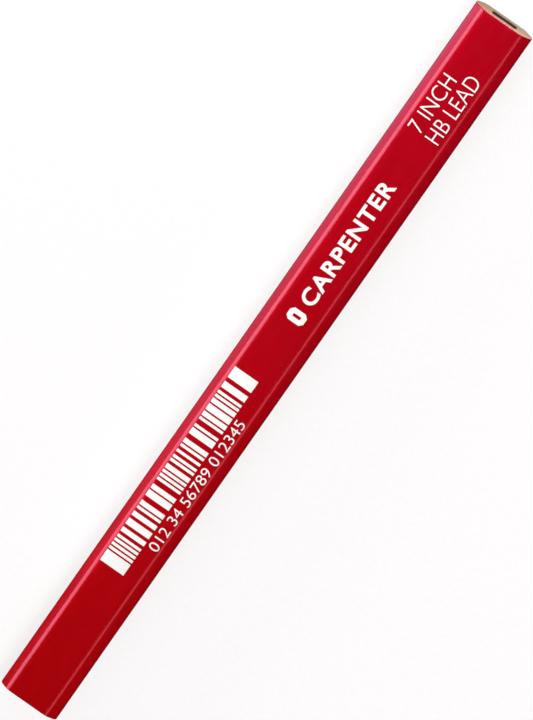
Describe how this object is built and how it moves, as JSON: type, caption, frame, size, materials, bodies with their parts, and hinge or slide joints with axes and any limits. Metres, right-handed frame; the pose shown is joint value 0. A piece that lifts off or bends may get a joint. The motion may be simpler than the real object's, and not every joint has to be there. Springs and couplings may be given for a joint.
{
  "type": "carpenter pencil",
  "caption": "Unsharpened flat carpenter pencil: glued wooden slats round a wide graphite core, with a red gloss coat of flattened octagonal section and bare sawn ends.",
  "frame": {"origin": "middle of the plain broad face that the pencil rests on, at half its length and half its width", "axes": "+X along the pencil, +Y across it, +Z through its thickness, from the plain broad face up to the printed one; print reads along +X"},
  "size_m": [0.178, 0.014, 0.007],
  "materials": {
    "wood": "sawn end grain, bare",
    "graphite": "sawn graphite and clay, satin",
    "glue": "dried wood glue",
    "primer": "matte pale filler",
    "lacquer": "glossy red lacquer",
    "ink": "white printed ink, satin"
  },
  "bodies": {
    "root": {"front_slat": "wood", "back_slat": "wood", "graphite_core": "graphite", "glue_film": "glue", "primer_coat": "primer", "lacquer_coat": "lacquer"}
  },
  "joints": []
}
